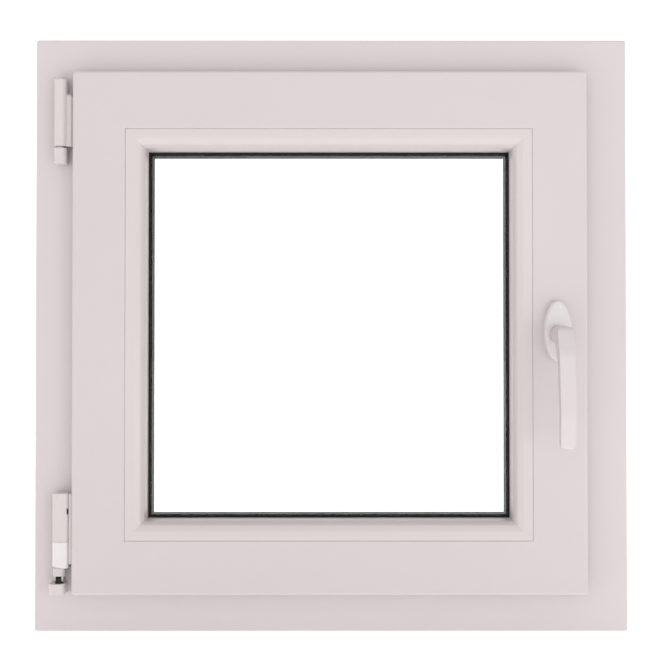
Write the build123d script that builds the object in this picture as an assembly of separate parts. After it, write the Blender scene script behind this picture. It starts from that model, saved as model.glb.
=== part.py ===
from build123d import *
import math
import os

os.makedirs("parts", exist_ok=True)

# Frame: X right seen from the room, -Y to the room, +Z up, millimetres.
# The origin is at the middle of the sill's bottom face.

FRAME = 600.0            # outer width and height of the fixed frame
DEPTH = 35.0             # half of the frame's 70 mm depth
MID = FRAME / 2
FACE = 48.0              # frame height under the sash
UPSTAND = 68.0           # frame height on the weather side
SASH = 520.0             # square that the sash profile is drawn from
SASH_LEFT = -259.0       # real edges of the sash's overlapping lip
SASH_RIGHT = 256.5
SASH_LOW = 40.0
SASH_TOP = 564.0
LIP_FRONT = -55.0        # room face of the sash
LIP_BACK = -39.0         # back of the overlapping lip
SASH_BACK = 15.0         # weather face of the sash
GROOVE = 20.0            # depth of the overlap, where the hardware groove lies
REBATE = 54.0            # glazing rebate measured from the sash edge
SIGHT = 74.0             # visible edge of the beads
WIDE = 4.5               # the lock stile's glazed side stands this much further in
AXIS_Y = -26.0           # middle of the hardware groove, 13 mm behind the lip
HINGE_X = -272.5         # vertical turning axis
HINGE_Y = -46.0
TILT_Z = 55.0            # height of the bottom tilting axis
SPINDLE_X = 225.0        # 15 mm backset from the groove face
SPINDLE_Z = 300.0
SPINDLE = 7.0            # square spindle across flats
SCREW_PITCH = 43.0       # handle screw centres
TEETH = 16
PITCH = 4.0              # rack pitch, so half a turn moves the rods 32 mm
STROKE = 32.0
ARM = 250.0              # stay arm from the turning axis to its guide pin


def box(x0, x1, y0, y1, z0, z1):
    return Pos((x0 + x1) / 2, (y0 + y1) / 2, (z0 + z1) / 2) * Box(x1 - x0, y1 - y0, z1 - z0)


def rod_x(r, x0, x1, y, z):
    return Pos((x0 + x1) / 2, y, z) * Rot(0, 90, 0) * Cylinder(r, x1 - x0)


def rod_y(r, x, y0, y1, z):
    return Pos(x, (y0 + y1) / 2, z) * Rot(90, 0, 0) * Cylinder(r, y1 - y0)


def rod_z(r, x, y, z0, z1):
    return Pos(x, y, (z0 + z1) / 2) * Cylinder(r, z1 - z0)


def outline(points):
    # a closed outline whose corners may carry a radius as a third number
    edges = []
    ends = []
    n = len(points)
    for i, p in enumerate(points):
        r = p[2] if len(p) > 2 else 0
        a = points[i - 1]
        b = points[(i + 1) % n]
        ua = Vector(a[0] - p[0], a[1] - p[1]).normalized()
        ub = Vector(b[0] - p[0], b[1] - p[1]).normalized()
        here = Vector(p[0], p[1])
        if r == 0:
            ends.append((here, here, None))
            continue
        half = math.acos(max(-1, min(1, ua.dot(ub)))) / 2
        cut = r / math.tan(half)
        middle = (ua + ub).normalized()
        far = r / math.sin(half) - r
        ends.append((here + ua * cut, here + ub * cut, here + middle * far))
    for i in range(n):
        start, stop, mid = ends[i]
        if mid is not None:
            edges.append(("arc", start, mid, stop))
        edges.append(("line", stop, ends[(i + 1) % n][0]))
    return edges


def face_of(points, place):
    # place turns an outline point into a space point
    made = []
    for e in outline(points):
        if e[0] == "line":
            if (e[1] - e[2]).length > 1e-6:
                made.append(Edge.make_line(place(e[1]), place(e[2])))
        else:
            made.append(Edge.make_three_point_arc(place(e[1]), place(e[2]), place(e[3])))
    return Face(Wire(made))


def bar_x(points, x0, x1, z0):
    # an outline of (height, depth) points run along X
    face = face_of(points, lambda p: Vector(x0, p.Y, z0 + p.X))
    return extrude(face, amount=x1 - x0, dir=(1, 0, 0))


def mitre(size):
    # the bottom quarter of a square frame, cut long enough for a lip that stands out
    h = size / 2 + 12
    pts = [Vector(-h, -200, MID - h), Vector(h, -200, MID - h), Vector(0, -200, MID)]
    return extrude(Face(Wire.make_polygon(pts, close=True)), amount=400, dir=(0, 1, 0))


def bottom_bar(size, outer, holes=()):
    h = size / 2
    reach = h + 12
    bar = bar_x(outer, -reach, reach, MID - h)
    for hole in holes:
        bar -= bar_x(hole, -reach, reach, MID - h)
    return bar & mitre(size)


def turned(bar, quarter):
    # quarter turns about the middle of the window: 0 bottom, 1 left, 2 top, 3 right
    return Pos(0, 0, MID) * Rot(0, 90 * quarter, 0) * Pos(0, 0, -MID) * bar


def ring(size, u0, u1, y0, y1):
    # a rectangular ring round the glass
    a = size / 2 - u0
    b = size / 2 - u1
    solid = box(-a, a - WIDE, y0, y1, MID - a, MID + a)
    return solid - box(-b, b - WIDE, y0 - 1, y1 + 1, MID - b, MID + b)


def glazed(bar, quarter):
    # moves the lock side in by WIDE and shortens the rails to suit
    placed = turned(bar, quarter)
    if quarter == 1:
        return placed
    if quarter == 3:
        return Pos(-WIDE, 0, 0) * placed
    return placed & (Pos(-WIDE, 0, 0) * turned(mitre(SASH), quarter))


def glazed_ring(points):
    bar = bottom_bar(SASH, points)
    return glazed(bar, 0) + glazed(bar, 1) + glazed(bar, 2) + glazed(bar, 3)


def shaped_ring(size, points):
    bars = [turned(bottom_bar(size, points), q) for q in range(4)]
    return bars[0] + bars[1] + bars[2] + bars[3]


def screw(r, head, length, lead):
    # countersunk screw along +Z, its flat head's top at 0 and its tip at -length
    body = Pos(0, 0, -length / 2) * Cylinder(r, length)
    cone = Pos(0, 0, -lead / 2) * Cone(r, head, lead)
    return body + cone - Pos(0, 0, -0.6) * Box(head * 1.1, 0.8, 1.4)


def screw_y(x, y, z, r=2.0, head=3.6, length=16.0, lead=1.8):
    # points to the weather side from a head on the room side
    return Pos(x, y, z) * Rot(90, 0, 0) * screw(r, head, length, lead)


def save(shape, name):
    export_step(shape, "parts/" + name + ".step")


# ---- fixed frame ----

FRAME_OUTER = [
    (0, -35, 2.0), (FACE, -35, 2.0), (FACE, 19), (UPSTAND, 19, 1.0),
    (UPSTAND, 35, 2.0), (0, 35, 1.5),
]
FRAME_HOLES = [
    [(3, -32), (45, -32), (45, -25), (3, -25)],
    [(3, -23.5), (45, -23.5), (45, 11), (3, 11)],
    [(3, 12.5), (45, 12.5), (45, 32), (3, 32)],
    [(47, 22), (65, 22), (65, 32), (47, 32)],
]
FRAME_STEEL = [
    (18, -23.5), (45, -23.5), (45, 11), (18, 11), (18, 9.5), (43.5, 9.5), (43.5, -22), (18, -22),
]
WALL_HOLES = (150.0, 450.0)
CAM_SIDE_Z = 492.0       # mushroom cam on the side rod, closed
CAM_TOP_X = 150.0
POST_HOLE = 18.5         # screw hole beside a hooked keep's post
TAIL_HOLE = 42.5         # screw hole at its other end
CAM_LOW_X = 168.0
STAY_SCREWS = (506.0, 530.0, 552.0)
CORNER_SCREWS = (54.5, 62.0)
CORNER_SCREW_X = -257.5
BARREL = 6.3             # radius of the upper hinge covers
EYE = 2.8                # half widths of the tilting eye and of the lugs beside it
LUG = 4.7
HOOK_LOW = 5.4           # the hook lies this far from the rebate face, clear of the tilting sash
HOOK_HIGH = 7.9
CAM_NECK = 247.0         # where a mushroom cam's head starts, measured from the middle
CAM_HEAD = 2.3


def frame_bars():
    bar = bottom_bar(FRAME, FRAME_OUTER, FRAME_HOLES)
    block = box(-MID, MID, -DEPTH, DEPTH, 0, FRAME)
    block = fillet(block.edges().filter_by(Axis.Y), 3.5)
    sill, left, head, right = [turned(bar, q) & block for q in range(4)]
    # drainage: slots from the rebate down, and out through the weather face
    for x in (-170.0, 170.0):
        sill -= box(x - 14, x + 14, 14, 17.5, 30, 60)
        sill -= box(x - 14, x + 14, 20, 40, 14, 19)
    # fixing holes right through both jambs for the wall screws
    for z in WALL_HOLES:
        left -= rod_x(5.25, -301, -251, 4, z)
        right -= rod_x(5.25, 251, 301, 4, z)
    # pilot holes for the stay bearing, the corner bearing and the keeps
    for z in STAY_SCREWS:
        left -= rod_y(2.0, HINGE_X, -36, -18, z)
    for z in CORNER_SCREWS:
        left -= rod_y(2.0, CORNER_SCREW_X, -36, -18, z)
    for z in (CAM_SIDE_Z + POST_HOLE, CAM_SIDE_Z - TAIL_HOLE):
        right -= rod_x(2.0, 250, 270, AXIS_Y, z)
    for x in (CAM_TOP_X - POST_HOLE, CAM_TOP_X + TAIL_HOLE):
        head -= rod_z(2.0, x, AXIS_Y, 550, 570)
    for x in (CAM_LOW_X + 20, CAM_LOW_X - 52):
        sill -= rod_z(2.0, x, AXIS_Y, 30, 50)
    return sill, head, left, right


def frame_reinforcement():
    h = FRAME / 2 - 50
    bar = bar_x(FRAME_STEEL, -h, h, 0)
    bars = []
    for q in range(4):
        b = turned(bar, q)
        bars.append(b)
    for z in WALL_HOLES:
        for q in (1, 3):
            bars[q] -= rod_x(5.25, -301, 301, 4, z)
    drills = []
    for z in STAY_SCREWS:
        drills.append((1, rod_y(2.0, HINGE_X, -36, -5, z)))
    for z in CORNER_SCREWS:
        drills.append((1, rod_y(2.0, CORNER_SCREW_X, -36, -5, z)))
    for z in (CAM_SIDE_Z + POST_HOLE, CAM_SIDE_Z - TAIL_HOLE):
        drills.append((3, rod_x(2.0, 240, 270, AXIS_Y, z)))
    for x in (CAM_TOP_X - POST_HOLE, CAM_TOP_X + TAIL_HOLE):
        drills.append((2, rod_z(2.0, x, AXIS_Y, 540, 570)))
    for x in (CAM_LOW_X + 20, CAM_LOW_X - 52):
        drills.append((0, rod_z(2.0, x, AXIS_Y, 30, 60)))
    for q, d in drills:
        bars[q] -= d
    return Compound(children=bars)


def frame_gasket():
    # a soft lip on the upstand that the sash's weather face closes on
    pts = [(54, 19), (54, 17.2), (57, 15.2), (64, 15.2), (65, 17.2), (61, 19)]
    return shaped_ring(FRAME, pts)


def drain_caps():
    caps = []
    for x in (-170.0, 170.0):
        cap = box(x - 18, x + 18, 35, 38, 10, 22)
        cap = fillet(cap.edges().filter_by(Axis.Y), 2.5)
        cap -= box(x - 13, x + 13, 34, 37, 9, 19)
        caps.append(cap)
    return Compound(children=caps)


def hole_caps():
    caps = []
    for z in WALL_HOLES:
        for s in (-1, 1):
            disc = rod_x(7.0, 250.2, 252, 4, z)
            stub = rod_x(5.1, 252, 256, 4, z) - rod_x(3.8, 252, 257, 4, z)
            cap = disc + stub
            caps.append(cap if s > 0 else Rot(0, 0, 180) * Pos(0, -8, 0) * cap)
    return Compound(children=caps)


# ---- keeps on the frame ----

def hooked_keep():
    # flat plate on the rebate, a post at one end and a thin bar that hooks over the cam's neck
    plate = box(-46, 24, -7, 7, 0, 2)
    post = box(8, 14, -6, 6, 2, HOOK_HIGH)
    hook = box(-7, 9, -4.2, -2.8, HOOK_LOW, HOOK_HIGH)
    brace = box(6.8, 8, -6, -2.8, HOOK_LOW, HOOK_HIGH)
    keep = plate + post + hook + brace
    for x in (POST_HOLE, -TAIL_HOLE):
        keep -= Pos(x, 0, 0) * Cylinder(2.1, 10)
    return keep


def keep_side():
    # local X runs up, local Z runs from the rebate face to the sash
    return Pos(MID - FACE, AXIS_Y, CAM_SIDE_Z) * Rot(0, -90, 0) * hooked_keep()


def keep_top():
    # the long tail runs to +X and the post stands at -X
    return Pos(CAM_TOP_X, AXIS_Y, FRAME - FACE) * Rot(180, 0, 0) * Rot(0, 0, 180) * hooked_keep()


def keep_low():
    # the bottom keep: locked at one end, open in the middle, and a long seat for the tilted sash
    x = CAM_LOW_X
    plate = box(x - 60, x + 26, AXIS_Y - 8, AXIS_Y + 7, FACE, FACE + 2)
    lock = box(x - 4, x + 14, AXIS_Y - 7, AXIS_Y - 4, FACE + 2, FACE + 8.5)
    seat = box(x - 46, x - 26, AXIS_Y - 7, AXIS_Y - 4, FACE + 2, FACE + 8.5)
    stop = box(x + 8, x + 14, AXIS_Y - 4, AXIS_Y + 6, FACE + 2, FACE + 8.5)
    keep = plate + lock + seat + stop
    for dx in (20.0, -52.0):
        keep -= rod_z(2.1, x + dx, AXIS_Y, FACE - 1, FACE + 3)
    return keep


def keep_screws():
    s = []
    one = screw(1.8, 3.4, 14, 1.6)
    for z in (CAM_SIDE_Z + POST_HOLE, CAM_SIDE_Z - TAIL_HOLE):
        s.append(Pos(MID - FACE - 3.7, AXIS_Y, z) * Rot(0, -90, 0) * one)
    for x in (CAM_TOP_X - POST_HOLE, CAM_TOP_X + TAIL_HOLE):
        s.append(Pos(x, AXIS_Y, FRAME - FACE - 3.7) * Rot(180, 0, 0) * one)
    for x in (CAM_LOW_X + 20, CAM_LOW_X - 52):
        s.append(Pos(x, AXIS_Y, FACE + 3.7) * one)
    return s


# ---- hinges on the frame ----

def stay_bearing():
    plate = box(HINGE_X - 5.5, HINGE_X + 6.3, -37.4, -35, 473, 561)
    plate = fillet(plate.edges().filter_by(Axis.Y), 2.0)
    foot = box(HINGE_X - 4, HINGE_X + 4, -42, -37.4, 474.8, 487)
    knuckle = rod_z(5.2, HINGE_X, HINGE_Y, 474.8, 487)
    body = plate + foot + knuckle - rod_z(3.0, HINGE_X, HINGE_Y, 473, 488)
    for z in STAY_SCREWS:
        body -= Pos(HINGE_X, -37.4, z) * Rot(90, 0, 0) * (Pos(0, 0, -0.9) * Cone(1.9, 3.7, 1.8))
        body -= rod_y(2.1, HINGE_X, -38, -34, z)
    return body


def stay_pin():
    pin = rod_z(3.0, HINGE_X, HINGE_Y, 472.6, 559)
    head = rod_z(4.2, HINGE_X, HINGE_Y, 472.6, 474.7)
    return pin + head


def stay_bearing_cap():
    # small sleeve over the lower knuckle
    low = 471.6
    cap = rod_z(BARREL, HINGE_X, HINGE_Y, low, 487.2)
    cap += box(HINGE_X - BARREL, HINGE_X + BARREL, HINGE_Y, -37.5, low, 487.2)
    cap = chamfer(cap.faces().sort_by(Axis.Z)[0].edges(), 0.8)
    core = rod_z(5.3, HINGE_X, HINGE_Y, low + 0.8, 490)
    core += box(HINGE_X - 4.4, HINGE_X + 4.4, HINGE_Y, -36, low + 0.8, 490)
    return cap - core


def bearing_block(grow):
    # the block that carries the sash's weight, or the cap over it when grown
    block = box(-280.8 - grow, -267.4 + grow, -53.0 - grow, -35, 41.2 - grow, 50.9)
    return fillet(block.edges().filter_by(Axis.Z).sort_by(Axis.Y)[:2], 4.0 + grow)


def corner_bearing():
    plate = box(HINGE_X - 4, -253.6, -37.2, -35, 49.5, 66.4)
    body = bearing_block(0) + plate - rod_z(3.56, HINGE_X, HINGE_Y, 42.4, 52)
    for z in CORNER_SCREWS:
        body -= Pos(CORNER_SCREW_X, -37.2, z) * Rot(90, 0, 0) * (Pos(0, 0, -0.8) * Cone(1.9, 3.5, 1.6))
        body -= rod_y(2.1, CORNER_SCREW_X, -38, -34, z)
    return body


def corner_bearing_cap():
    # thin shell over the block, closed at the bottom and front
    inner = box(-280.8, -267.4, -53.0, -30, 41.2, 60)
    inner = fillet(inner.edges().filter_by(Axis.Z).sort_by(Axis.Y)[:2], 4.0)
    return bearing_block(1.2) - inner - box(HINGE_X - 4.3, -250, -37.5, -30, 49.2, 68)


def frame_hinge_screws():
    s = [screw_y(HINGE_X, -37.4, z, 1.8, 3.4, 17, 1.6) for z in STAY_SCREWS]
    s += [screw_y(CORNER_SCREW_X, -37.2, z, 1.8, 3.3, 17, 1.4) for z in CORNER_SCREWS]
    return s


def corner_pivot():
    # turns with the sash but doesn't tilt: pin below, cross pin above
    pin = rod_z(3.5, HINGE_X, HINGE_Y, 42.6, 51.2)
    collar = rod_z(4.2, HINGE_X, HINGE_Y, 51.1, 51.9)
    neck = box(HINGE_X - EYE, HINGE_X + EYE, HINGE_Y - 3.4, HINGE_Y + 3.4, 51.8, TILT_Z)
    eye = rod_x(3.4, HINGE_X - EYE, HINGE_X + EYE, HINGE_Y, TILT_Z)
    cross = rod_x(2.0, HINGE_X - LUG - 0.2, HINGE_X + LUG + 0.2, HINGE_Y, TILT_Z)
    return pin + collar + neck + eye + cross


# ---- sash ----

SASH_OUTER = [
    (-10, LIP_FRONT), (REBATE, LIP_FRONT, 0.8), (REBATE, 1), (SIGHT, 1, 0.6),
    (SIGHT, 8, 1.0), (SIGHT - 6, SASH_BACK, 1.5), (GROOVE, SASH_BACK, 1.0), (GROOVE, -18),
    (30, -18), (30, -34), (GROOVE, -34), (GROOVE, LIP_BACK), (-10, LIP_BACK),
]
SASH_HOLES = [
    [(8, -52), (51, -52), (51, -42.5), (8, -42.5)],
    [(32.5, -40.5), (51, -40.5), (51, -4), (32.5, -4)],
    [(23, -2.5), (51, -2.5), (51, 12), (23, 12)],
    [(53, 4), (SIGHT - 3, 4), (SIGHT - 3, 7), (SIGHT - 7.4, 12), (53, 12)],
]
SASH_STEEL = [
    (32.5, -38), (50, -38), (50, -6), (32.5, -6), (32.5, -7.5), (48.5, -7.5), (48.5, -36.5), (32.5, -36.5),
]
BAND_SCREWS = (82.0, 104.0, 126.0)


def gear_pocket(extra):
    return box(208.5 - extra, 241, -32.2, -19.8, 244 - extra, 356 + extra)


def handle_drills(r, y0, y1):
    up = rod_y(r, SPINDLE_X, y0, y1, SPINDLE_Z + SCREW_PITCH / 2)
    low = rod_y(r, SPINDLE_X, y0, y1, SPINDLE_Z - SCREW_PITCH / 2)
    return up + low


def long_bar():
    reach = SASH / 2
    bar = bar_x(SASH_OUTER, -reach, reach, MID - reach)
    for hole in SASH_HOLES:
        bar -= bar_x(hole, -reach, reach, MID - reach)
    return turned(bar, 3)


def lock_stile():
    # the hardware side of the profile and its glazed side meet inside the chambers
    split = 212.0
    outer = long_bar() & box(split, 280, -100, 100, -20, 640)
    inner = (Pos(-WIDE, 0, 0) * long_bar()) & box(150, split, -100, 100, -20, 640)
    stile = (outer + inner) & (Pos(-WIDE, 0, 0) * turned(mitre(SASH), 3))
    # the rails' hardware groove runs on into the stile's
    return stile - box(220, 231, -34, -18, 530, 540) - box(220, 231, -34, -18, 60, 70)


def sash_bars():
    # the bars are trimmed to the lip's edges, whose front corner is rounded all round
    bar = bottom_bar(SASH, SASH_OUTER, SASH_HOLES)
    block = box(SASH_LEFT, SASH_RIGHT, LIP_FRONT, 40, SASH_LOW, SASH_TOP)
    block = fillet(block.edges().filter_by(Axis.Y), 3.4)
    block = fillet(block.faces().sort_by(Axis.Y)[0].edges(), 3.2)
    low, left, top = [glazed(bar, q) & block for q in range(3)]
    right = lock_stile() & block
    right -= gear_pocket(0)
    right -= rod_y(6.5, SPINDLE_X, -60, -30, SPINDLE_Z)
    right -= handle_drills(3.2, -60, -30)
    for z in BAND_SCREWS:
        left -= rod_x(1.9, -245, -226, -27, z)
    for x in (-150.0, 150.0):
        low -= box(x - 12, x + 12, 4.5, 8, 88, 120)
        low -= box(x - 12, x + 12, 5, 9, 58, 64)
    return low, top, left, right


def sash_reinforcement():
    h = SASH / 2 - 56
    bar = bar_x(SASH_STEEL, -h, h, 40)
    bars = [turned(bar, q) for q in range(4)]
    bars[3] -= gear_pocket(1.0)
    bars[3] -= handle_drills(4.0, -60, -30)
    bars[3] -= rod_y(8.0, SPINDLE_X, -60, -30, SPINDLE_Z)
    for z in BAND_SCREWS:
        bars[1] -= rod_x(2.4, -245, -200, -27, z)
    return Compound(children=bars)


def sash_gasket():
    pts = [(3.9, LIP_BACK), (3.9, -37.6), (4.9, -36.0), (7.0, -36.0), (7.9, -37.6), (7.9, LIP_BACK)]
    g = shaped_ring(SASH, pts)
    # the bottom run is drawn pressed, because it rolls back when the sash tilts
    g -= box(-270, 270, -38.0, -30, 38, 49)
    # thinned where hinge leaves pass behind the lip
    g -= box(-265, -250, -38.6, -30, 38, 146)
    g -= box(-265, -250, -38.6, -30, 496, 555)
    return g


def bead_bar():
    face = LIP_FRONT + 0.1
    pts = [
        (REBATE + 0.25, face, 0.8), (SIGHT - 10.5, face, 5.0), (SIGHT - 4.5, -52.6, 5.0),
        (SIGHT - 1.2, -47.5, 6.0), (SIGHT, -38.0, 5.0), (SIGHT, -29, 0.4), (60, -29), (60, -32.5),
        (REBATE, -32.5), (REBATE, -52.0), (REBATE + 0.25, -52.3),
    ]
    hole = [(57, -50), (SIGHT - 8.5, -50), (SIGHT - 3.5, -44), (SIGHT - 3, -36), (57, -36)]
    return bottom_bar(SASH, pts, [hole])


def bead_gasket():
    lip = SIGHT + 2.0
    return glazed_ring([(60, -29), (lip - 0.6, -29), (lip, -28.4), (lip, -27), (lip - 1.4, -26), (60, -26)])


def outer_gasket():
    lip = SIGHT + 2.0
    return glazed_ring([(60, -2), (lip - 1.4, -2), (lip, -1.0), (lip, 1), (60, 1)])


def pane(y0, y1):
    h = SASH / 2 - 59.5
    return box(-h, h - WIDE, y0, y1, MID - h, MID + h)


def spacer_bar():
    s = ring(SASH, 66.5, SIGHT + 2.6, -22, -6)
    return s - ring(SASH, 67.5, SIGHT + 1.6, -20.5, -7.5)


def edge_seal():
    return ring(SASH, 59.5, 66.5, -22, -6)


def glazing_packers():
    packs = []
    h = SASH / 2 - REBATE
    for q in range(4):
        for x in (-140.0, 140.0):
            p = box(x - 25, x + 25, -27, -3, MID - h, MID - h + 5.5)
            packs.append(glazed(p, q))
    return Compound(children=packs)


# ---- hinge parts on the sash ----

def corner_hinge_band():
    # plate on the sash edge, leaf behind the lip, round block and two lugs on the cross pin
    plate = box(-243, -240, -38.3, -18, 68, 140)
    leaf = box(-265.6, -240, -38.3, -36.2, 68, 140)
    link = box(HINGE_X, -262.4, -41.5, -38.3, 68, 140)
    web = box(-265.6, -262.4, -41.5, -36.2, 68, 140)
    block = rod_z(5.4, HINGE_X, HINGE_Y, 61.5, 137)
    block += box(HINGE_X - 5.4, HINGE_X + 5.4, HINGE_Y, -40.6, 61.5, 137)
    hood = rod_z(6.2, HINGE_X, HINGE_Y, 58.4, 66.2) - rod_z(5.2, HINGE_X, HINGE_Y, 58, 61.5)
    hood -= box(HINGE_X - 8, HINGE_X + 8, HINGE_Y + 1.5, -30, 58, 61.5)
    band = plate + leaf + link + web + block + hood
    for s in (-1, 1):
        near = HINGE_X + s * (EYE + 0.2)
        far = HINGE_X + s * LUG
        band += rod_x(2.9, min(near, far), max(near, far), HINGE_Y, TILT_Z)
        band += box(min(near, far), max(near, far), HINGE_Y - 2.9, HINGE_Y + 2.9, TILT_Z, 62)
    band -= rod_x(2.06, HINGE_X - 8, HINGE_X + 8, HINGE_Y, TILT_Z)
    for z in BAND_SCREWS:
        band -= Pos(-243, -27, z) * Rot(0, -90, 0) * (Pos(0, 0, -0.9) * Cone(1.9, 3.7, 1.8))
        band -= rod_x(2.1, -244, -239, -27, z)
    return band


def band_screws():
    one = screw(1.8, 3.4, 15, 1.6)
    return [Pos(-243, -27, z) * Rot(0, -90, 0) * one for z in BAND_SCREWS]


def cover_shell(z0, z1):
    # rounded moulding round the hinge block, thick on the side next to the sash
    right = -262.6
    pts = [
        (HINGE_X - 6.6, -41.6), (HINGE_X - 6.6, -52.5, 5.5), (right, -52.5, 3.6), (right, -41.6),
    ]
    outer = extrude(face_of(pts, lambda p: Vector(p.X, p.Y, z0)), amount=z1 - z0, dir=(0, 0, 1))
    inner = rod_z(5.6, HINGE_X, HINGE_Y, z0 - 1, min(z1 + 1, 139.5))
    inner += box(HINGE_X - 5.6, HINGE_X + 5.6, HINGE_Y, -30, z0 - 1, min(z1 + 1, 139.5))
    return outer, inner


def corner_hinge_cover():
    outer, inner = cover_shell(92.9, 141.0)
    top = outer.faces().sort_by(Axis.Z)[-1]
    shell = fillet(top.edges(), 0.9)
    notch = box(-264.2, -261, -54, -40, 120, 126)
    return shell - inner - notch


def corner_hinge_cap():
    # its lower end is cut on a slant
    outer, inner = cover_shell(66.5, 92.5)
    slant = Pos(HINGE_X, HINGE_Y, 62.2) * Rot(0, 12, 0) * Box(40, 40, 10)
    return outer - slant - inner


# ---- drive inside the sash ----

def gearbox_case():
    case = box(209, 237.6, -32, -20, 245, 355)
    case = fillet(case.edges().filter_by(Axis.Y).sort_by(Axis.X)[:2], 4.0)
    # room for the pinion, the rack and the rod
    case -= rod_y(12.0, SPINDLE_X, -29.5, -22.5, SPINDLE_Z)
    case -= box(SPINDLE_X + 8, 238, -29.5, -22.5, 244, 356)
    case -= box(236.2, 238, -32.5, -19.5, 244, 356)
    case -= rod_y(6.0, SPINDLE_X, -33, -19, SPINDLE_Z)
    case -= handle_drills(2.1, -33, -21)
    return case


def involute_gear(r, teeth, add, ded, thin, y0, y1):
    base = r * math.cos(math.radians(20))
    half = math.pi / (2 * teeth) - thin / (2 * r)
    inv = math.tan(math.radians(20)) - math.radians(20)
    pts = []
    for i in range(teeth):
        mid = 2 * math.pi * i / teeth
        flank = []
        for k in range(7):
            rad = max(base, r - ded) + (r + add - max(base, r - ded)) * k / 6
            al = math.acos(min(1.0, base / rad))
            flank.append((rad, half + inv - (math.tan(al) - al)))
        root = r - ded
        pts.append((root, mid - flank[0][1] - 0.01))
        pts += [(a, mid - b) for a, b in flank]
        pts += [(a, mid + b) for a, b in reversed(flank)]
        pts.append((root, mid + flank[0][1] + 0.01))
    ring3 = [Vector(SPINDLE_X + a * math.cos(b), y0, SPINDLE_Z + a * math.sin(b)) for a, b in pts]
    return extrude(Face(Wire.make_polygon(ring3, close=True)), amount=y1 - y0, dir=(0, 1, 0))


def gearbox_pinion():
    r = TEETH * PITCH / (2 * math.pi)
    gear = involute_gear(r, TEETH, 1.1, 1.45, 0.16, -29, -23)
    gear += rod_y(5.8, SPINDLE_X, -31.6, -20.4, SPINDLE_Z)
    hole = box(-3.55, 3.55, -40, -10, -3.55, 3.55)
    return gear - Pos(SPINDLE_X, 0, SPINDLE_Z) * hole


def rack_teeth():
    # straight-flanked teeth that point to the pinion, one gap facing it at rest
    r = TEETH * PITCH / (2 * math.pi)
    line = SPINDLE_X + r
    t = math.tan(math.radians(20))
    add = 1.15
    ded = 1.35
    parts = None
    for i in range(-5, 15):
        z = SPINDLE_Z + (i + 0.5) * PITCH
        w = PITCH / 4 - 0.08
        pts = [
            Vector(line - add, -29, z - w + add * t), Vector(line - add, -29, z + w - add * t),
            Vector(line + ded, -29, z + w + ded * t), Vector(line + ded, -29, z - w - ded * t),
        ]
        tooth = extrude(Face(Wire.make_polygon(pts, close=True)), amount=6, dir=(0, 1, 0))
        parts = tooth if parts is None else parts + tooth
    return parts


def drive_rod_side():
    r = TEETH * PITCH / (2 * math.pi)
    line = SPINDLE_X + r + 1.35
    rod = box(line, 237.5, -31.5, -20.5, 156, 497)
    return rod + rack_teeth()


def cam_side():
    stem = rod_x(2.5, 237.5, CAM_NECK, AXIS_Y, CAM_SIDE_Z)
    head = rod_x(5.0, CAM_NECK, CAM_NECK + CAM_HEAD, AXIS_Y, CAM_SIDE_Z)
    return stem + chamfer(head.edges(), 0.5)


def drive_rod_top():
    return box(44, 174, -31.5, -20.5, 535.4, 537.5)


def cam_top():
    neck = MID + CAM_NECK
    stem = rod_z(2.5, CAM_TOP_X, AXIS_Y, 537.5, neck)
    head = rod_z(5.0, CAM_TOP_X, AXIS_Y, neck, neck + CAM_HEAD)
    return stem + chamfer(head.edges(), 0.5)


def drive_rod_low():
    return box(62, 196, -31.5, -20.5, 62.5, 64.6)


def cam_low():
    pin = rod_z(3.5, CAM_LOW_X, AXIS_Y, 51.5, 62.5)
    return chamfer(pin.edges().sort_by(Axis.Z)[0], 0.5)


def faceplate_side():
    plate = box(237.7, 240, -33.8, -18.2, 106, 536)
    for z, r in ((CAM_SIDE_Z, 3.2),):
        plate -= box(237, 241, AXIS_Y - r, AXIS_Y + r, z - STROKE - 4, z + 4)
    for z in (120.0, 232.0, 368.0):
        plate -= rod_x(2.1, 236, 241, AXIS_Y, z)
    return plate


def faceplate_top():
    plate = box(30, 236, -33.8, -18.2, 537.7, 540)
    plate -= box(CAM_TOP_X - 4, CAM_TOP_X + STROKE + 4, AXIS_Y - 3.2, AXIS_Y + 3.2, 537, 541)
    for x in (38.0, 226.0):
        plate -= rod_z(2.1, x, AXIS_Y, 536, 541)
    return plate


def faceplate_low():
    plate = box(20, 236, -33.8, -18.2, 60, 62.3)
    plate -= box(CAM_LOW_X - STROKE - 5, CAM_LOW_X + 5, AXIS_Y - 4.2, AXIS_Y + 4.2, 59, 63)
    for x in (28.0, 226.0):
        plate -= rod_z(2.1, x, AXIS_Y, 59, 63)
    return plate


def faceplate_screws():
    one = screw(1.8, 2.05, 9, 0.4)
    s = [Pos(240, AXIS_Y, z) * Rot(0, 90, 0) * one for z in (120.0,)]
    s += [Pos(x, AXIS_Y, 540) * one for x in (38.0,)]
    s += [Pos(x, AXIS_Y, 60) * Rot(180, 0, 0) * one for x in (28.0,)]
    return s


def corner_drive(flip):
    # angle guide in the groove's corner with a curved channel for the spring strip
    a = box(209, 237.5, -31.8, -20.2, 530.4, 537.5)
    b = box(230.4, 237.5, -31.8, -20.2, 500, 537.5)
    guide = a + b
    strip = strip_path(5.0, 0.7)
    channel = strip_path(5.6, 1.5)
    guide -= channel
    if flip:
        guide = mirror(guide, Plane.XY.offset(MID))
        strip = mirror(strip, Plane.XY.offset(MID))
    return guide, strip


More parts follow.
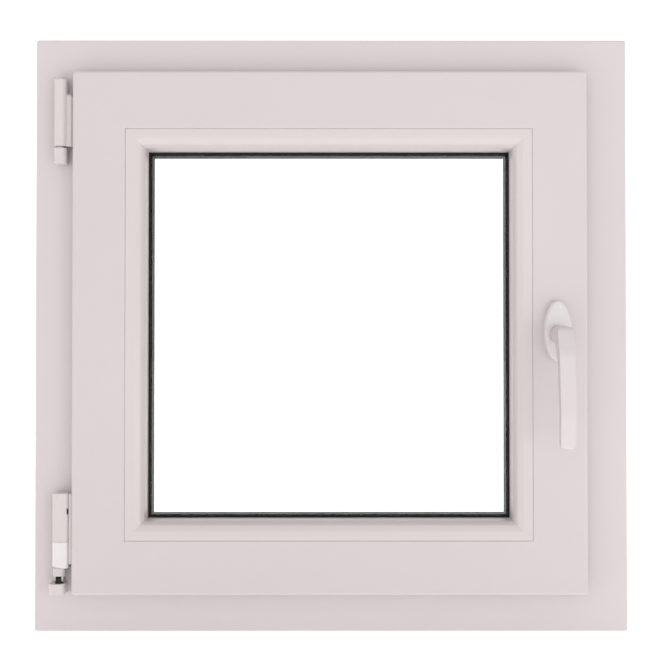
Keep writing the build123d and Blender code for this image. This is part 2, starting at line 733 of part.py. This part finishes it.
def strip_path(half, thick):
    # a thin band that runs along the groove and bends round the corner
    r = 6.0
    x = 234.0
    z = 534.0
    t = thick / 2
    grow = 0.0 if thick < 1 else 2.0
    along = box(211 - grow, x - r, AXIS_Y - half, AXIS_Y + half, z - t, z + t)
    down = box(x - t, x + t, AXIS_Y - half, AXIS_Y + half, 502 - grow, z - r)
    bend = rod_y(r + t, x - r, AXIS_Y - half, AXIS_Y + half, z - r)
    bend -= rod_y(r - t, x - r, AXIS_Y - half - 1, AXIS_Y + half + 1, z - r)
    bend = bend & box(x - r, x + r, AXIS_Y - half - 1, AXIS_Y + half + 1, z - r, z + r)
    return along + down + bend


# ---- stay on top of the sash ----

def stay_guide():
    x = HINGE_X + ARM
    body = box(x - 48, x + 44, -33.8, -18.2, 530, 540)
    body -= box(x - 24, x + 12, -30.6, -21.4, 530.9, 538)
    slot = box(x - 17, x + 5, AXIS_Y - 4.0, AXIS_Y + 4.0, 537, 541)
    slot = fillet(slot.edges().filter_by(Axis.Z), 3.4)
    body -= slot
    for dx in (-40.0, 36.0):
        body -= rod_z(2.1, x + dx, AXIS_Y, 529, 541)
    return body


def stay_arm():
    x = HINGE_X + ARM
    knuckle = rod_z(5.2, HINGE_X, HINGE_Y, 489.2, 557)
    link = box(HINGE_X, -262.4, -41.0, -38.3, 500, 545)
    step = box(-265.2, -262.4, -41.0, -36.3, 500, 545)
    leaf = box(-265.2, -246, -38.3, -36.3, 500, 549)
    pts = [
        Vector(-250, -38.3, 546), Vector(-230, -38.3, 546), Vector(x, AXIS_Y - 7, 546),
        Vector(x, AXIS_Y + 7, 546), Vector(-250, -20, 546),
    ]
    blade = extrude(Face(Wire.make_polygon(pts, close=True)), amount=3, dir=(0, 0, 1))
    blade += rod_z(7.0, x, AXIS_Y, 546, 549)
    arm = knuckle + link + step + leaf + blade
    arm -= rod_z(3.06, HINGE_X, HINGE_Y, 488, 560)
    return arm - rod_z(2.0, x, AXIS_Y, 545, 550)


def stay_arm_pin():
    x = HINGE_X + ARM
    return rod_z(3.0, x, AXIS_Y, 531.9, 546) + rod_z(2.0, x, AXIS_Y, 546, 549.6)


def stay_arm_cap():
    # tall rounded sleeve over the upper knuckle with a flange beside the sash
    low = 489.2
    shoulder = 556.3
    outer = rod_z(BARREL, HINGE_X, HINGE_Y, low, shoulder)
    outer += Pos(HINGE_X, HINGE_Y, shoulder) * Sphere(BARREL, arc_size1=0)
    outer += box(HINGE_X - BARREL, HINGE_X + BARREL, HINGE_Y, -41.2, low, shoulder)
    side = box(HINGE_X + 3, -260.3, -47.5, -41.2, low, 542)
    side = fillet(side.edges().filter_by(Axis.Y).sort_by(Axis.X)[-2:].sort_by(Axis.Z)[-1:], 4.0)
    side = chamfer(side.edges().filter_by(Axis.Z).sort_by(Axis.X)[-2:].sort_by(Axis.Y)[:1], 1.4)
    cap = outer + side
    cap -= rod_z(5.3, HINGE_X, HINGE_Y, 480, 559.6)
    return cap - box(HINGE_X - 5.3, HINGE_X + 5.3, HINGE_Y, -30, 480, 557.2)


# ---- handle ----

def handle_base():
    # metal plate screwed through to the gearbox, with a collar that carries the lever
    place = Pos(SPINDLE_X, LIP_FRONT, SPINDLE_Z) * Rot(90, 0, 0)
    plate = extrude(place * SlotOverall(51.6, 11, 90), amount=3)
    plate += rod_y(10.0, SPINDLE_X, -58, LIP_FRONT, SPINDLE_Z)
    collar = rod_y(8.6, SPINDLE_X, -64.6, -58, SPINDLE_Z)
    base = plate + collar
    base -= rod_y(6.0, SPINDLE_X, -70, -50, SPINDLE_Z)
    base -= handle_drills(2.6, -70, -50)
    for s in (-1, 1):
        z = SPINDLE_Z + s * SCREW_PITCH / 2
        base -= Pos(SPINDLE_X, -58, z) * Rot(90, 0, 0) * (Pos(0, 0, -0.9) * Cone(2.6, 4.1, 1.8))
    return base


def handle_screws():
    s = []
    for k in (-1, 1):
        z = SPINDLE_Z + k * SCREW_PITCH / 2
        s.append(Pos(SPINDLE_X, -58, z) * Rot(90, 0, 0) * screw(2.0, 3.9, 35, 1.6))
    return Compound(children=s)


def handle_rosette():
    # an upright oval moulding that stands a little high on the spindle
    place = Pos(SPINDLE_X, LIP_FRONT, SPINDLE_Z + 3) * Rot(90, 0, 0)
    shell = extrude(place * Ellipse(13.5, 30.5), amount=10)
    shell = fillet(shell.faces().sort_by(Axis.Y)[0].edges(), 3.4)
    shell -= extrude(place * Ellipse(12.2, 29.2), amount=7.6)
    return shell - rod_y(8.9, SPINDLE_X, -80, -50, SPINDLE_Z)


def handle_lever():
    # neck on the spindle, cranked out and down into a flat grip with a slight knee
    hub = rod_y(8.2, SPINDLE_X, -90, -65.6, SPINDLE_Z)
    side = [
        (-77, 307.5, 3), (-101, 306, 8), (-111.5, 281, 26), (-116, 221, 40), (-113, 190, 3.2),
        (-105, 190, 3.2), (-106, 221, 60), (-100, 272, 22), (-88, 292, 8), (-77, 292.5, 1),
    ]
    flat = face_of(side, lambda p: Vector(SPINDLE_X - 20, p.X, p.Y))
    grip = extrude(flat, amount=40, dir=(1, 0, 0))
    front = [(-7.9, 309, 7.8), (7.9, 309, 7.8), (7.9, 294, 20), (7.4, 270, 60), (7.1, 189.8, 4.5),
             (-7.1, 189.8, 4.5), (-7.4, 270, 60), (-7.9, 294, 20)]
    plan = face_of(front, lambda p: Vector(SPINDLE_X + p.X, -130, p.Y))
    grip = grip & extrude(plan, amount=70, dir=(0, 1, 0))
    grip = soften(grip, (2.6, 2.0, 1.4))
    lever = hub + grip
    socket = box(-3.55, 3.55, -80, -60, -3.55, 3.55)
    return lever - Pos(SPINDLE_X, 0, SPINDLE_Z) * socket


def soften(shape, radii):
    # rounds the edges between the side walls and the faces, at the largest radius that closes
    edges = [e for e in shape.edges() if e.length > 4 and abs(e.tangent_at(0.5).X) < 0.9]
    for r in radii:
        try:
            return fillet(edges, r)
        except ValueError:
            continue
    return shape


def handle_spindle():
    h = SPINDLE / 2
    return box(SPINDLE_X - h, SPINDLE_X + h, -79.5, -21.0, SPINDLE_Z - h, SPINDLE_Z + h)


def main():
    sill, head, left, right = frame_bars()
    save(sill, "frame_sill")
    save(head, "frame_head")
    save(left, "frame_jamb_left")
    save(right, "frame_jamb_right")
    save(frame_reinforcement(), "frame_reinforcement")
    save(frame_gasket(), "frame_gasket")
    save(drain_caps(), "drain_caps")
    save(hole_caps(), "fixing_hole_caps")
    save(Compound(children=[keep_side(), keep_top()]), "keeps_hooked")
    save(keep_low(), "keep_low")
    save(stay_bearing(), "stay_bearing")
    save(stay_pin(), "stay_pin")
    save(stay_bearing_cap(), "stay_bearing_cap")
    save(corner_bearing(), "corner_bearing")
    save(corner_bearing_cap(), "corner_bearing_cap")
    save(Compound(children=keep_screws() + frame_hinge_screws()), "frame_screws")
    save(corner_pivot(), "corner_pivot")
    low, top, stile_l, stile_r = sash_bars()
    save(low, "sash_rail_low")
    save(top, "sash_rail_top")
    save(stile_l, "sash_stile_left")
    save(stile_r, "sash_stile_right")
    save(sash_reinforcement(), "sash_reinforcement")
    save(sash_gasket(), "sash_gasket")
    bead = bead_bar()
    for q, side in enumerate(("low", "left", "top", "right")):
        save(glazed(bead, q), "bead_" + side)
    save(bead_gasket(), "bead_gasket")
    save(outer_gasket(), "glazing_gasket")
    save(pane(-26, -22), "glass_pane_room")
    save(pane(-6, -2), "glass_pane_weather")
    save(spacer_bar(), "spacer_bar")
    save(edge_seal(), "edge_seal")
    save(glazing_packers(), "glazing_packers")
    save(corner_hinge_band(), "corner_hinge_band")
    save(corner_hinge_cover(), "corner_hinge_cover")
    save(corner_hinge_cap(), "corner_hinge_cap")
    save(gearbox_case(), "gearbox_case")
    save(gearbox_pinion(), "gearbox_pinion")
    save(drive_rod_side(), "drive_rod_side")
    save(cam_side(), "cam_side")
    save(drive_rod_top(), "drive_rod_top")
    save(cam_top(), "cam_top")
    save(drive_rod_low(), "drive_rod_low")
    save(cam_low(), "cam_low")
    save(faceplate_side(), "faceplate_side")
    save(faceplate_top(), "faceplate_top")
    save(faceplate_low(), "faceplate_low")
    save(Compound(children=band_screws() + faceplate_screws()), "sash_screws")
    guide_a, strip_a = corner_drive(False)
    guide_b, strip_b = corner_drive(True)
    save(Compound(children=[guide_a, guide_b]), "corner_guides")
    save(Compound(children=[strip_a, strip_b]), "corner_strips")
    save(stay_guide(), "stay_guide")
    save(stay_arm(), "stay_arm")
    save(Compound(children=[stay_arm_pin()]), "stay_arm_pin")
    save(stay_arm_cap(), "stay_arm_cap")
    return handle_parts()


def handle_parts():
    save(handle_base(), "handle_base")
    save(handle_screws(), "handle_screws")
    save(handle_rosette(), "handle_rosette")
    save(handle_lever(), "handle_lever")
    save(handle_spindle(), "handle_spindle")


main()
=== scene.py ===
import bpy
import bmesh
import math
from mathutils import Matrix, Vector


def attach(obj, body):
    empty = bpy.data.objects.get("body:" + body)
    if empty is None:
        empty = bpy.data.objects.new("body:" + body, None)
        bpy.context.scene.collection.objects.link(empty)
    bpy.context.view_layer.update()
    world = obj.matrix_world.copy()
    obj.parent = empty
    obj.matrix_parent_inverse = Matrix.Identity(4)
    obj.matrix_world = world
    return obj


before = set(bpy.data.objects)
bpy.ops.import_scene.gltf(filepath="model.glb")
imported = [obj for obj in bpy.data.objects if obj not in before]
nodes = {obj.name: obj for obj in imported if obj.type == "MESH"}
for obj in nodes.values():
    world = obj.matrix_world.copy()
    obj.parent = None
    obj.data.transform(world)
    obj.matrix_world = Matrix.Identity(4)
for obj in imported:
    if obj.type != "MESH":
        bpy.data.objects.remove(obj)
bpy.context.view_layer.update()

# ---------------------------------------------------------------- profile bars
# White PVC-U bars with four welded corners. The skin has a fine orange peel, and its
# tone and gloss drift a little along the bars.
skin = bpy.data.node_groups.new("pvc_skin", "ShaderNodeTree")
for socket_name, kind in (("Base", "Color"), ("Seam", "Float"), ("Peel", "Float")):
    skin.interface.new_socket(socket_name, in_out="INPUT", socket_type="NodeSocket" + kind)
for socket_name, kind in (("Color", "Color"), ("Roughness", "Float"), ("Normal", "Vector")):
    skin.interface.new_socket(socket_name, in_out="OUTPUT", socket_type="NodeSocket" + kind)


def node(tree, kind, operation=None, **values):
    made = tree.nodes.new("ShaderNode" + kind)
    if operation:
        made.operation = operation
    for key, value in values.items():
        index = int(key[1:]) if key[0] == "i" and key[1:].isdigit() else key.replace("_", " ")
        made.inputs[index].default_value = value
    return made


def chain(tree, *links):
    for source, target in links:
        tree.links.new(source, target)


skin_in = skin.nodes.new("NodeGroupInput")
skin_out = skin.nodes.new("NodeGroupOutput")
place = node(skin, "TexCoord")
axes = node(skin, "SeparateXYZ")
# the weld seams lie where |x| equals the height above or below the window's middle, 0.3 m
across = node(skin, "Math", "ABSOLUTE")
height = node(skin, "Math", "SUBTRACT", i1=0.3)
upright = node(skin, "Math", "ABSOLUTE")
apart = node(skin, "Math", "SUBTRACT")
distance = node(skin, "Math", "ABSOLUTE")
seam = node(skin, "MapRange", From_Min=0.0002, From_Max=0.0011, To_Min=1.0, To_Max=0.0)
seam_amount = node(skin, "Math", "MULTIPLY")
chain(
    skin,
    (place.outputs["Object"], axes.inputs[0]),
    (axes.outputs["X"], across.inputs[0]),
    (axes.outputs["Z"], height.inputs[0]),
    (height.outputs[0], upright.inputs[0]),
    (across.outputs[0], apart.inputs[0]),
    (upright.outputs[0], apart.inputs[1]),
    (apart.outputs[0], distance.inputs[0]),
    (distance.outputs[0], seam.inputs["Value"]),
    (seam.outputs[0], seam_amount.inputs[0]),
    (skin_in.outputs["Seam"], seam_amount.inputs[1]),
)
drift = node(skin, "TexNoise", Scale=5.0, Detail=3.0)
tone = node(skin, "MapRange", To_Min=0.982, To_Max=1.018)
toned = node(skin, "VectorMath", "SCALE")
seamed = skin.nodes.new("ShaderNodeMix")
seamed.data_type = "RGBA"
seamed.inputs["B"].default_value = (0.50, 0.46, 0.45, 1)
gloss = node(skin, "MapRange", To_Min=0.27, To_Max=0.37)
peel = node(skin, "TexNoise", Scale=380.0, Detail=2.0)
peel_height = node(skin, "Math", "MULTIPLY")
relief = node(skin, "Math", "SUBTRACT")
bump = node(skin, "Bump", Strength=0.5, Distance=0.00018)
chain(
    skin,
    (place.outputs["Object"], drift.inputs["Vector"]),
    (drift.outputs["Fac"], tone.inputs["Value"]),
    (skin_in.outputs["Base"], toned.inputs[0]),
    (tone.outputs[0], toned.inputs["Scale"]),
    (toned.outputs[0], seamed.inputs["A"]),
    (seam_amount.outputs[0], seamed.inputs["Factor"]),
    (seamed.outputs["Result"], skin_out.inputs["Color"]),
    (drift.outputs["Fac"], gloss.inputs["Value"]),
    (gloss.outputs[0], skin_out.inputs["Roughness"]),
    (place.outputs["Object"], peel.inputs["Vector"]),
    (peel.outputs["Fac"], peel_height.inputs[0]),
    (skin_in.outputs["Peel"], peel_height.inputs[1]),
    (peel_height.outputs[0], relief.inputs[0]),
    (seam_amount.outputs[0], relief.inputs[1]),
    (relief.outputs[0], bump.inputs["Height"]),
    (bump.outputs["Normal"], skin_out.inputs["Normal"]),
)


def plastic(name, base, seam_value=0.0, peel_value=0.15, specular=0.45, coat=0.0):
    material = bpy.data.materials.new(name)
    material.use_nodes = True
    tree = material.node_tree
    shader = tree.nodes["Principled BSDF"]
    shader.inputs["Specular IOR Level"].default_value = specular
    shader.inputs["Coat Weight"].default_value = coat
    shader.inputs["Coat Roughness"].default_value = 0.12
    group = tree.nodes.new("ShaderNodeGroup")
    group.node_tree = skin
    group.inputs["Base"].default_value = (*base, 1)
    group.inputs["Seam"].default_value = seam_value
    group.inputs["Peel"].default_value = peel_value
    chain(
        tree,
        (group.outputs["Color"], shader.inputs["Base Color"]),
        (group.outputs["Roughness"], shader.inputs["Roughness"]),
        (group.outputs["Normal"], shader.inputs["Normal"]),
    )
    return material


def dress(material, *names):
    for name in names:
        mesh = nodes[name].data
        mesh.materials.clear()
        mesh.materials.append(material)


frame_pvc = plastic("frame_pvc", (0.672, 0.606, 0.613), seam_value=0.02)
dress(frame_pvc, "frame_sill", "frame_head", "frame_jamb_left", "frame_jamb_right")
sash_pvc = plastic("sash_pvc", (0.655, 0.587, 0.597), seam_value=0.04)
dress(sash_pvc, "sash_rail_low", "sash_rail_top", "sash_stile_left", "sash_stile_right")

# ---------------------------------------------------------------- glazing beads
# Four snap-in beads of the same plastic from another batch, a shade warmer, with
# cut mitres that show as hairlines.
bead_pvc = plastic("bead_pvc", (0.67, 0.603, 0.597), seam_value=0.06)
dress(bead_pvc, "bead_low", "bead_left", "bead_top", "bead_right")


def block(shape, x0, x1, y0, y1, z0, z1):
    middle = Matrix.Translation(((x0 + x1) / 2, (y0 + y1) / 2, (z0 + z1) / 2))
    size = Matrix.Diagonal((x1 - x0, y1 - y0, z1 - z0, 1))
    bmesh.ops.create_cube(shape, size=1.0, matrix=middle @ size)


def new_piece(shape, name, material):
    mesh = bpy.data.meshes.new(name)
    shape.to_mesh(mesh)
    shape.free()
    mesh.materials.append(material)
    piece = bpy.data.objects.new(name, mesh)
    bpy.context.scene.collection.objects.link(piece)
    return piece


# a thin soft lip closes the joint between the beads and the sash face; it stands in the
# 0.25 mm gap outside the beads, just under the room face
lip_front = -0.0546
lip_back = -0.0525
lip_width = 0.00021
left = -0.20598
right = 0.20148
low = 0.09402
top = 0.50598
lip = bmesh.new()
block(lip, left, right, lip_front, lip_back, low, low + lip_width)
block(lip, left, right, lip_front, lip_back, top - lip_width, top)
block(lip, left, left + lip_width, lip_front, lip_back, low + lip_width, top - lip_width)
block(lip, right - lip_width, right, lip_front, lip_back, low + lip_width, top - lip_width)
bead_lip = new_piece(lip, "bead_lip", bead_pvc)
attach(bead_lip, "sash")

# ---------------------------------------------------------------- covers and caps
# Injection-moulded hinge covers and small caps, smoother than the bars.
cover_white = plastic("cover_white", (0.675, 0.61, 0.607), peel_value=0.05, specular=0.5)
dress(cover_white, "stay_bearing_cap", "corner_bearing_cap", "corner_hinge_cover", "stay_arm_cap")
dress(cover_white, "drain_caps", "fixing_hole_caps")
# The glossy cap on the lower hinge is its own part with a clear coat, but its lighter base colour is a
# painted highlight of the low lamp.
cap_white_painted_highlight = plastic("cap_white_painted_highlight", (0.77, 0.73, 0.72), peel_value=0.03, specular=0.6, coat=0.5)
dress(cap_white_painted_highlight, "corner_hinge_cap")

# a narrow flange on the lower cover reaches across to the edge of the sash
flange = bmesh.new()
block(flange, -0.26255, -0.25905, -0.0500, -0.0440, 0.0701, 0.1405)
bmesh.ops.bevel(flange, geom=flange.edges[:], offset=0.0006, segments=2, affect="EDGES")
cover_flange = new_piece(flange, "corner_cover_flange", cover_white)
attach(cover_flange, "sash")

# ---------------------------------------------------------------- handle
# Powder-coated lever on an oval moulded rosette that is a shade brighter.
handle_white = plastic("handle_white", (0.675, 0.612, 0.62), peel_value=0.08, specular=0.55, coat=0.2)
dress(handle_white, "handle_lever")
rosette_white = plastic("rosette_white", (0.71, 0.66, 0.665), peel_value=0.04, specular=0.55, coat=0.2)
dress(rosette_white, "handle_rosette", "handle_base")

# a plain bearing ring fills the gap between the lever's neck and the rosette
spindle = Vector((0.225, 0, 0.3))
inner = 0.00826
outer = 0.00884
ring_back = -0.0647
ring_front = -0.0654
ring = bmesh.new()
profile = [
    ring.verts.new(spindle + Vector((radius, y, 0)))
    for radius, y in ((inner, ring_back), (outer, ring_back), (outer, ring_front), (inner, ring_front))
]
outline = [ring.edges.new((profile[i], profile[(i + 1) % 4])) for i in range(4)]
bmesh.ops.spin(ring, geom=profile + outline, cent=spindle, axis=(0, 1, 0), angle=math.tau, steps=72)
bmesh.ops.remove_doubles(ring, verts=ring.verts[:], dist=0.00001)
bmesh.ops.recalc_face_normals(ring, faces=ring.faces[:])
neck_ring = new_piece(ring, "neck_ring", handle_white)
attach(neck_ring, "handle")

# ---------------------------------------------------------------- rubber and glass
# Black EPDM seals and spacer round two clear panes.
rubber = bpy.data.materials.new("black_rubber")
rubber.use_nodes = True
rubber_shader = rubber.node_tree.nodes["Principled BSDF"]
rubber_shader.inputs["Specular IOR Level"].default_value = 0.25
rubber_place = node(rubber.node_tree, "TexCoord")
rubber_grain = node(rubber.node_tree, "TexNoise", Scale=900.0, Detail=3.0)
rubber_color = node(rubber.node_tree, "ValToRGB")
rubber_color.color_ramp.elements[0].color = (0.006, 0.006, 0.0065, 1)
rubber_color.color_ramp.elements[1].color = (0.016, 0.015, 0.016, 1)
rubber_gloss = node(rubber.node_tree, "MapRange", To_Min=0.5, To_Max=0.75)
rubber_bump = node(rubber.node_tree, "Bump", Strength=0.3, Distance=0.0001)
chain(
    rubber.node_tree,
    (rubber_place.outputs["Object"], rubber_grain.inputs["Vector"]),
    (rubber_grain.outputs["Fac"], rubber_color.inputs["Fac"]),
    (rubber_color.outputs["Color"], rubber_shader.inputs["Base Color"]),
    (rubber_grain.outputs["Fac"], rubber_gloss.inputs["Value"]),
    (rubber_gloss.outputs[0], rubber_shader.inputs["Roughness"]),
    (rubber_grain.outputs["Fac"], rubber_bump.inputs["Height"]),
    (rubber_bump.outputs["Normal"], rubber_shader.inputs["Normal"]),
)
dress(rubber, "frame_gasket", "sash_gasket", "bead_gasket", "glazing_gasket", "edge_seal", "spacer_bar")
dress(rubber, "stay_guide", "corner_guides", "glazing_packers")

glass = bpy.data.materials.new("float_glass")
glass.use_nodes = True
glass_shader = glass.node_tree.nodes["Principled BSDF"]
glass_shader.inputs["Base Color"].default_value = (1.0, 1.0, 1.0, 1)
glass_shader.inputs["IOR"].default_value = 1.5
glass_shader.inputs["Transmission Weight"].default_value = 1.0
glass_place = node(glass.node_tree, "TexCoord")
glass_haze = node(glass.node_tree, "TexNoise", Scale=14.0, Detail=4.0)
glass_gloss = node(glass.node_tree, "MapRange", From_Min=0.55, From_Max=0.9, To_Min=0.0, To_Max=0.02)
chain(
    glass.node_tree,
    (glass_place.outputs["Object"], glass_haze.inputs["Vector"]),
    (glass_haze.outputs["Fac"], glass_gloss.inputs["Value"]),
    (glass_gloss.outputs[0], glass_shader.inputs["Roughness"]),
)
dress(glass, "glass_pane_room", "glass_pane_weather")

# ---------------------------------------------------------------- metal hardware
# Zinc-plated steel: drive rods, keeps, faceplates and screws, with the faint brushing
# and blotches of a passivated surface. Castings are duller, and the hinges are painted.


def metal(name, dark, light, low, high):
    material = bpy.data.materials.new(name)
    material.use_nodes = True
    tree = material.node_tree
    shader = tree.nodes["Principled BSDF"]
    shader.inputs["Metallic"].default_value = 1.0
    where = node(tree, "TexCoord")
    blotch = node(tree, "TexNoise", Scale=60.0, Detail=6.0, Roughness=0.65)
    ramp = node(tree, "ValToRGB")
    ramp.color_ramp.elements[0].position = 0.35
    ramp.color_ramp.elements[0].color = (*dark, 1)
    ramp.color_ramp.elements[1].position = 0.7
    ramp.color_ramp.elements[1].color = (*light, 1)
    gloss_range = node(tree, "MapRange", To_Min=low, To_Max=high)
    stretch = node(tree, "Mapping", Scale=(1800.0, 1800.0, 60.0))
    brush = node(tree, "TexNoise", Scale=1.0, Detail=2.0)
    brushed = node(tree, "Bump", Strength=0.15, Distance=0.00005)
    chain(
        tree,
        (where.outputs["Object"], blotch.inputs["Vector"]),
        (blotch.outputs["Fac"], ramp.inputs["Fac"]),
        (ramp.outputs["Color"], shader.inputs["Base Color"]),
        (blotch.outputs["Fac"], gloss_range.inputs["Value"]),
        (gloss_range.outputs[0], shader.inputs["Roughness"]),
        (where.outputs["Object"], stretch.inputs["Vector"]),
        (stretch.outputs[0], brush.inputs["Vector"]),
        (brush.outputs["Fac"], brushed.inputs["Height"]),
        (brushed.outputs["Normal"], shader.inputs["Normal"]),
    )
    return material


zinc = metal("zinc_steel", (0.42, 0.43, 0.45), (0.66, 0.67, 0.68), 0.26, 0.42)
dress(zinc, "keeps_hooked", "keep_low", "frame_screws")
dress(zinc, "sash_screws", "drive_rod_side", "cam_side", "drive_rod_top", "cam_top", "drive_rod_low")
dress(zinc, "cam_low", "faceplate_side", "faceplate_top", "faceplate_low", "stay_arm_pin")
dress(zinc, "frame_reinforcement", "sash_reinforcement", "handle_screws", "handle_spindle")
cast = metal("zinc_casting", (0.30, 0.30, 0.31), (0.50, 0.50, 0.51), 0.38, 0.55)
dress(cast, "gearbox_case", "gearbox_pinion", "corner_strips")
blackened = metal("blackened_steel", (0.02, 0.02, 0.02), (0.05, 0.05, 0.05), 0.35, 0.5)
dress(blackened, "corner_pivot")
painted = plastic("painted_band", (0.62, 0.58, 0.575), peel_value=0.1, specular=0.5)
dress(painted, "corner_hinge_band", "stay_arm", "stay_bearing", "stay_pin", "corner_bearing")

# ---------------------------------------------------------------- floor, light, camera
# A white studio: a floor and a far backdrop that are both brighter than the plastic, so
# they meet without a line. A small key light stands low on the right.


def paper(name, glow, location, turn):
    bpy.ops.mesh.primitive_plane_add(size=60, location=location, rotation=(turn, 0, 0))
    sheet = bpy.context.object
    sheet.name = name
    material = bpy.data.materials.new(name)
    material.use_nodes = True
    shader = material.node_tree.nodes["Principled BSDF"]
    shader.inputs["Base Color"].default_value = (0.96, 0.96, 0.96, 1)
    shader.inputs["Roughness"].default_value = 1.0
    shader.inputs["Specular IOR Level"].default_value = 0.0
    shader.inputs["Emission Color"].default_value = (1, 1, 1, 1)
    shader.inputs["Emission Strength"].default_value = glow
    sheet.data.materials.append(material)


paper("floor", 0.46, (0, 0, -0.0005), 0)
paper("backdrop", 0.28, (0, 12, 0), math.radians(90))

world = bpy.data.worlds.new("studio")
bpy.context.scene.world = world
world.use_nodes = True
world.node_tree.nodes["Background"].inputs["Color"].default_value = (1, 1, 1, 1)
world.node_tree.nodes["Background"].inputs["Strength"].default_value = 0.8


def softbox(name, spot, target, size, power):
    data = bpy.data.lights.new(name, "AREA")
    data.size = size
    data.energy = power
    lamp = bpy.data.objects.new(name, data)
    lamp.location = spot
    lamp.rotation_euler = (Vector(target) - Vector(spot)).to_track_quat("-Z", "Y").to_euler()
    bpy.context.scene.collection.objects.link(lamp)


window_middle = (0, 0, 0.3)
softbox("key", (0.95, -1.5, 0.0), window_middle, 0.35, 3.6)
softbox("front", (0.3, -3.0, 0.5), window_middle, 1.2, 2.0)

camera_data = bpy.data.cameras.new("camera")
camera_data.sensor_width = 36
camera_data.lens = 64.366917
camera = bpy.data.objects.new("camera", camera_data)
camera.location = (0.0001, -1.24126, 0.28409)
camera.rotation_euler = (math.radians(90) + 0.0149, 0, -0.0011)
bpy.context.scene.collection.objects.link(camera)
bpy.context.scene.camera = camera
bpy.context.scene.view_settings.view_transform = "Standard"
